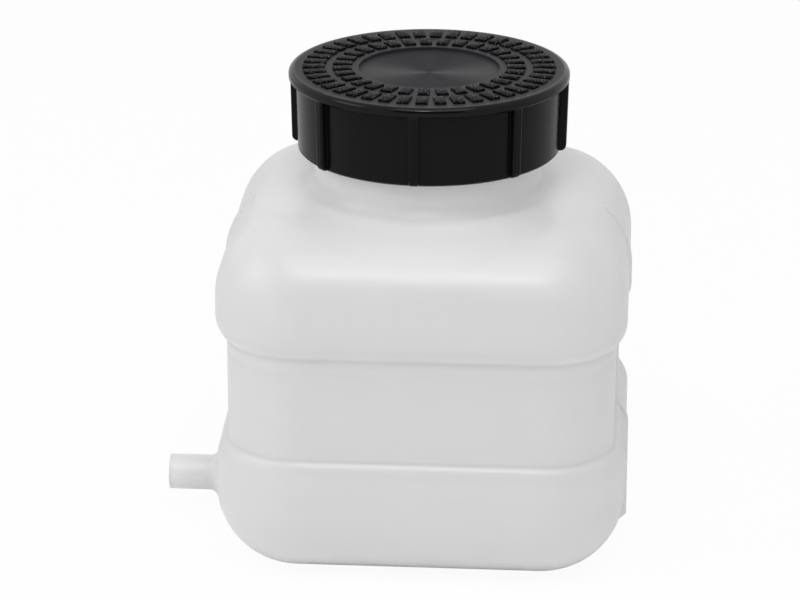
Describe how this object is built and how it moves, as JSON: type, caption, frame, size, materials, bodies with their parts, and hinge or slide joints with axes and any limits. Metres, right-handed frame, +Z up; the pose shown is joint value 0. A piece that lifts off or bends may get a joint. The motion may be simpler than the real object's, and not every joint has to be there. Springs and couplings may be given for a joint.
{
  "type": "brake fluid reservoir",
  "caption": "Translucent plastic brake fluid reservoir with a ribbed black screw cap, a strap groove round its waist and a side hose spigot.",
  "frame": {"origin": "middle of the flat underside, on the axis of the neck and cap", "axes": "+Z up along the neck's axis, -X along the hose spigot, -Y towards the front"},
  "size_m": [0.1046, 0.087, 0.1069],
  "materials": {
    "tank": "natural translucent polyethylene, as moulded",
    "cap": "black polypropylene, fine matte top and smooth skirt",
    "seal_ring": "black moulded rubber",
    "splash_baffle": "black polypropylene, as moulded"
  },
  "bodies": {
    "tank": {"tank": "tank"},
    "seal": {"seal_ring": "seal_ring"},
    "cap": {"cap": "cap", "splash_baffle": "splash_baffle"}
  },
  "joints": [
    {"name": "cap_lift", "type": "slide", "parent": "tank", "child": "seal", "axis": [0, 0, 1], "range_m": [0, 0.008]},
    {"name": "cap_turn", "type": "hinge", "parent": "seal", "child": "cap", "pos_m": [0, 0, 0.095], "axis": [0, 0, 1], "range_deg": [0, 720]}
  ],
  "couplings": [
    {"joint": "cap_lift", "follows": "cap_turn", "m_per_rad": 0.0006366}
  ]
}
